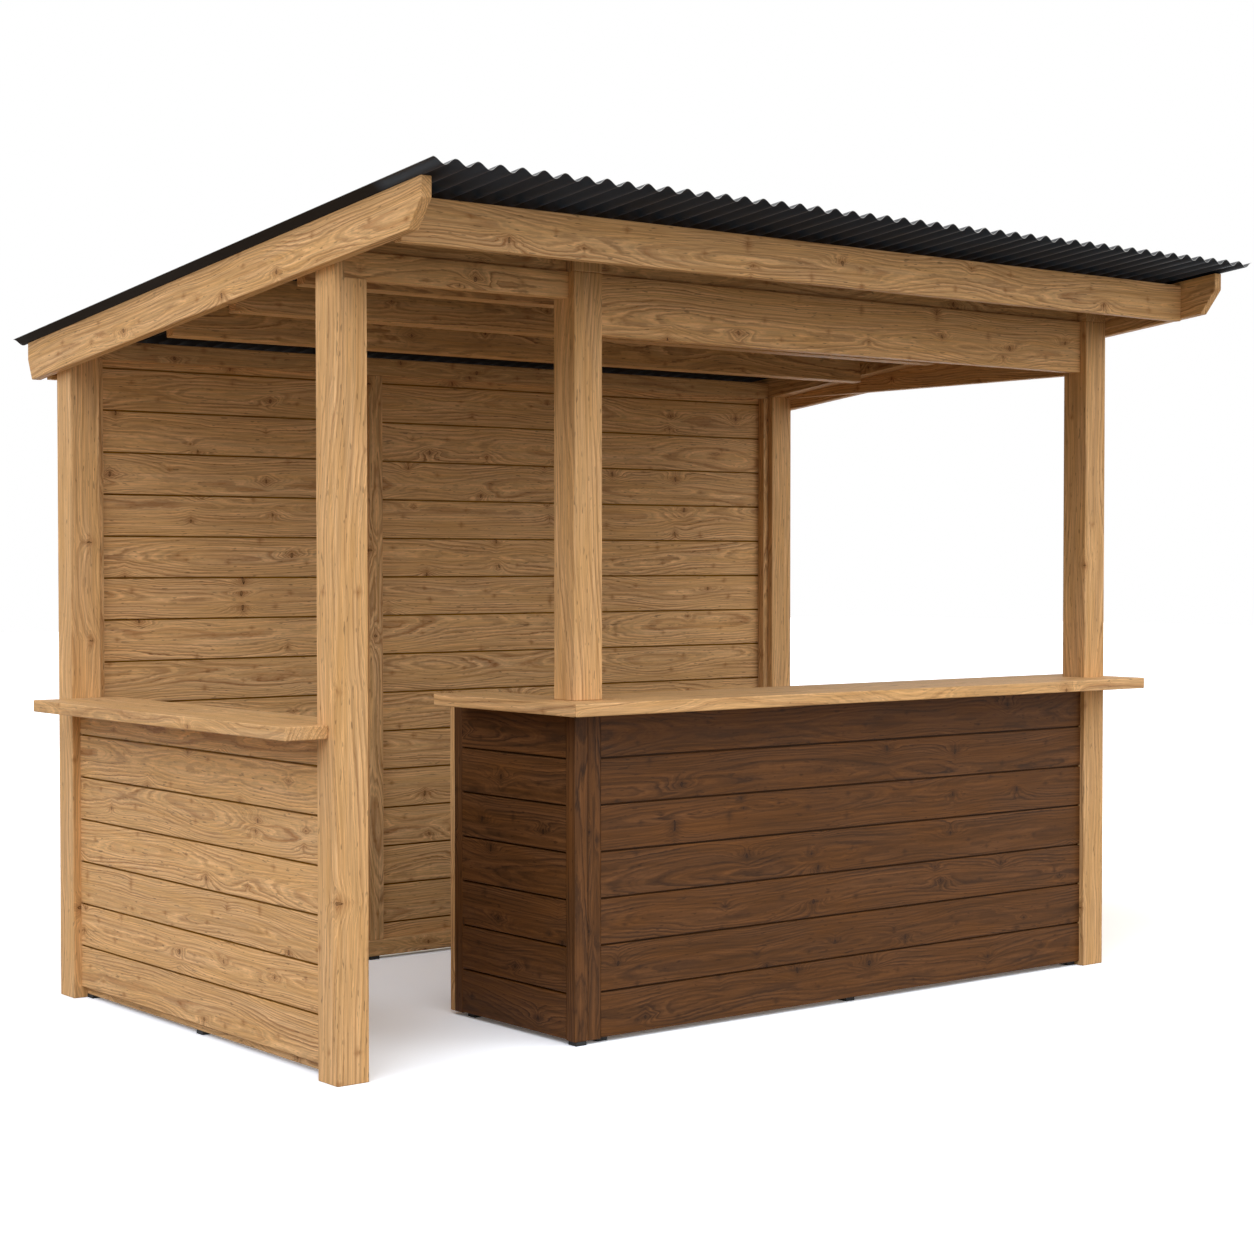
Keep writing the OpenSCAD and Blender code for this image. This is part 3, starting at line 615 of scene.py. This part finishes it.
def lay_roof():
    depth, pitch, rise, plane = roof_layout()
    length = (depth - rise * math.sin(ROOF_PITCH)) / math.cos(ROOF_PITCH)
    tree = corrugated_sheet()
    for i in range(SHEETS):
        node = f"roof_sheet_{i + 1}"
        first = i * (SHEET_WAVES - LAP_WAVES)
        lift = SHEET_REST + (i % 2) * (SHEET_T + SHEET_REST)
        mesh = run_nodes(tree, bpy.data.meshes.new("empty"), {
            "Waves": float(SHEET_WAVES), "Pitch": pitch, "Height": WAVE_H, "Thickness": SHEET_T,
            "Length": length, "First": first, "Lift": lift, "Columns": SHEET_WAVES * STEPS_A_WAVE + 1,
            "Top": STEEL, "Underside": BACKER, "Edge": CUT_EDGE_AND_GLINT})
        mesh.transform(plane @ Matrix.Translation((first * pitch, length / 2, 0)))
        mesh.polygons.foreach_set("use_smooth", [True] * len(mesh.polygons))
        mesh.set_sharp_from_angle(angle=math.radians(40))
        link_piece(node + "_finished", mesh, [node])


def roofing_screw():
    """Hexagon head on a domed washer, standing on Z zero."""
    work = bmesh.new()
    for segments, foot, top, depth, low in ((14, WASHER_R, WASHER_R - MM, WASHER_T, 0),
                                            (6, HEAD_R, HEAD_R - 0.3 * MM, HEAD_H, WASHER_T)):
        bmesh.ops.create_cone(work, cap_ends=True, segments=segments, radius1=foot, radius2=top, depth=depth,
                              matrix=Matrix.Translation((0, 0, low + depth / 2)))
    return as_mesh(work, "screw")


def screw_rows():
    """A row of like screws, one pitch apart along X."""
    tree, start = new_tree("screw_row", [
        ("Count", "NodeSocketInt", 23), ("Pitch", "NodeSocketFloat", 0.14), ("Material", "NodeSocketMaterial", None)])
    step = add(tree, "ShaderNodeCombineXYZ", (start["Pitch"],)).outputs[0]
    line = add(tree, "GeometryNodeMeshLine", {"Count": start["Count"], "Offset": step}).outputs[0]
    row = add(tree, "GeometryNodeInstanceOnPoints", {"Points": line, "Instance": start["Geometry"]}).outputs[0]
    row = add(tree, "GeometryNodeRealizeInstances", (row,)).outputs[0]
    row = add(tree, "GeometryNodeSetMaterial", {"Geometry": row, "Material": start["Material"]}).outputs[0]
    add(tree, "NodeGroupOutput", (row,))
    return tree


def screw_roof():
    """Screws through the crests into the purlins and the fascia boards."""
    _, pitch, rise, plane = roof_layout()
    front_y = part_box("roof_sheet_1")[0].y
    tree = screw_rows()
    screw = roofing_screw()
    whole = bmesh.new()
    for node in ("front_fascia", "purlin_1", "purlin_2", "purlin_3", "back_fascia"):
        low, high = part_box(node)
        down = ((low.y + high.y) / 2 - front_y) / math.cos(ROOF_PITCH)
        row = run_nodes(tree, screw, {"Count": int(ROOF_WAVES / SCREW_EVERY), "Pitch": SCREW_EVERY * pitch,
                                      "Material": STEEL})
        row.transform(plane @ Matrix.Translation((pitch, down, rise - SCREW_SUNK)))
        whole.from_mesh(row)
        bpy.data.meshes.remove(row)
    link_piece("roof_screws", as_mesh(whole, "roof_screws"), material=STEEL)


def build_timbers():
    for node in ("post_front_left", "post_front_middle", "post_front_right", "post_back_left", "post_back_right",
                 "middle_post_cap"):
        cut_timber(node, "Z", material=POSTS, quartered=True)
    for node in ("entrance_header", "bar_header", "entrance_infill", "bar_infill", "front_fascia", "back_fascia",
                 "purlin_1", "purlin_2", "purlin_3", "back_top_rail"):
        cut_timber(node, "X")
    for node in ("rafter_left", "rafter_right", "barge_left", "barge_right"):
        cut_timber(node, "Y", slope=ROOF_PITCH)
    cut_timber("side_header_right", "Y")
    for node, axis in (("left_shelf", "Y flat"), ("counter_top_front", "X flat"), ("counter_top_return", "Y flat")):
        cut_timber(node, axis, material=POSTS)
    for node in ("counter_corner_outer", "counter_corner_inner", "counter_back_batten"):
        cut_timber(node, "Z", material=STAINED)


def wall_frame(node):
    """Frame of a low side wall: two rails, and three studs between them."""
    low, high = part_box(node)
    mid_y = (low.y + high.y) / 2
    rails = [((low.x, low.y, z), (high.x, high.y, z + STUD_W), "Y") for z in (low.z, high.z - STUD_W)]
    studs = [((low.x, y, low.z + STUD_W), (high.x, y + STUD_W, high.z - STUD_W), "Z")
             for y in (low.y, mid_y - STUD_W / 2, high.y - STUD_W)]
    timber_set(node, rails + studs)


def back_frame():
    """Frame behind the room: one bottom rail, two narrow end studs and a stud near the middle."""
    low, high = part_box("back_wall_frame")
    stud_x = low.x + BACK_STUD_FROM_POST
    foot = low.z + STUD_W
    timber_set("back_wall_frame", [
        (tuple(low), (high.x, high.y, foot), "X"),
        ((low.x, low.y, foot), (low.x + END_STUD_W, high.y, high.z), "Z"),
        ((high.x - END_STUD_W, low.y, foot), tuple(high), "Z"),
        ((stud_x, low.y, foot), (stud_x + STUD_W, high.y, high.z), "Z")])


def counter_frames():
    """Frames behind the counter's front and end boards, with the bare stud at the end."""
    low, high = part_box("counter_front_frame")
    bay = (high.x - low.x - BATTEN) / COUNTER_BAYS
    rails = [((low.x, low.y, z), (high.x, high.y, z + BATTEN), "X") for z in (low.z, high.z - BATTEN)]
    studs = [((low.x + i * bay, low.y, low.z + BATTEN), (low.x + i * bay + BATTEN, high.y, high.z - BATTEN), "Z")
             for i in range(COUNTER_BAYS + 1)]
    timber_set("counter_front_frame", rails + studs)
    low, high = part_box("counter_end_frame")
    boards_low, boards_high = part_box("counter_end_boards")
    x0, y0, y1 = boards_high.x, boards_low.y, boards_high.y
    rails = [((x0, y0, z), (high.x, y1, z + BATTEN), "Y") for z in (low.z, high.z - BATTEN)]
    studs = [((x0, y, low.z + BATTEN), (high.x, y + BATTEN, high.z - BATTEN), "Z") for y in (y0, y1 - BATTEN)]
    bare = ((low.x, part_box("counter_back_batten")[1].y, low.z), tuple(high), "Z")
    timber_set("counter_end_frame", rails + studs + [bare])


def build_walls():
    boarded("back_wall_boards", WALL_PITCH, WALL_FIRST_JOINT, OILED, 11, "-Y")
    boarded("left_wall_boards", SIDE_PITCH, SIDE_FIRST_JOINT, OILED, 23, "-X")
    boarded("right_wall_boards", SIDE_PITCH, SIDE_FIRST_JOINT, OILED, 37, "+X")
    boarded("counter_front_boards", COUNTER_PITCH, COUNTER_FIRST_JOINT, STAINED, 41, "-Y")
    boarded("counter_end_boards", COUNTER_PITCH, COUNTER_FIRST_JOINT, STAINED, 53, "-X")
    wall_frame("left_wall_frame")
    wall_frame("right_wall_frame")
    back_frame()
    counter_frames()


def build_pads():
    work = cad_form("foot_pads")
    round_edges(work, PAD_EDGE)
    link_piece("foot_pads_finished", as_mesh(work, "foot_pads"), ["foot_pads"], RUBBER)


def seen_as_white(tree):
    """1 for the camera, reflections and glass, and 0 for the light that falls on the bar."""
    path = add(tree, "ShaderNodeLightPath").outputs
    seen = path["Is Camera Ray"]
    for ray in ("Is Glossy Ray", "Is Transmission Ray"):
        seen = add(tree, "ShaderNodeMath", (seen, path[ray]), operation="MAXIMUM").outputs[0]
    return seen


def set_stage():
    """A plain pale floor and soft studio light, with a white background."""
    mesh = bpy.data.meshes.new("floor")
    s = FLOOR_SIZE / 2
    mesh.from_pydata([(-s, -s, 0), (s, -s, 0), (s, s, 0), (-s, s, 0)], [], [(0, 1, 2, 3)])
    floor = bpy.data.objects.new("floor", mesh)
    bpy.context.scene.collection.objects.link(floor)
    # It looks white with a soft shadow, and throws only a little warm light back on the bar
    material, tree = new_material("pale_floor")
    plain = add(tree, "ShaderNodeBsdfDiffuse", {"Color": linear("#93897b")}).outputs[0]
    white = add(tree, "ShaderNodeBsdfDiffuse", {"Color": linear("#f8fcff")}).outputs[0]
    for shader, settings in (("ShaderNodeBsdfDiffuse", {"Color": linear("#aebbca")}),
                             ("ShaderNodeEmission", {"Color": linear("#ffffff"), "Strength": 0.05})):
        more = add(tree, shader, settings).outputs[0]
        white = add(tree, "ShaderNodeAddShader", (white, more)).outputs[0]
    mixed = add(tree, "ShaderNodeMixShader", (seen_as_white(tree), plain, white)).outputs[0]
    add(tree, "ShaderNodeOutputMaterial", (mixed,))
    mesh.materials.append(material)

    world = bpy.data.worlds.new("studio")
    world.use_nodes = True
    tree = world.node_tree
    tree.nodes.clear()
    glow = add(tree, "ShaderNodeBackground", {"Color": linear("#ffdfad"), "Strength": 0.385}).outputs[0]
    backdrop = add(tree, "ShaderNodeBackground", {"Color": linear("#ffffff"), "Strength": 1.0}).outputs[0]
    mixed = add(tree, "ShaderNodeMixShader", (seen_as_white(tree), glow, backdrop)).outputs[0]
    add(tree, "ShaderNodeOutputWorld", (mixed,))
    bpy.context.scene.world = world

    for name, strength, colour, tilt, turn, spread in SUNS:
        data = bpy.data.lights.new(name, "SUN")
        data.energy = strength
        data.color = linear(colour)[:3]
        data.angle = math.radians(spread)
        lamp = bpy.data.objects.new(name, data)
        lamp.rotation_euler = (math.radians(tilt), 0, math.radians(turn))
        bpy.context.scene.collection.objects.link(lamp)
    bpy.context.scene.view_settings.view_transform = "Standard"


set_camera()
build_timbers()
build_walls()
lay_roof()
screw_roof()
build_pads()
set_stage()
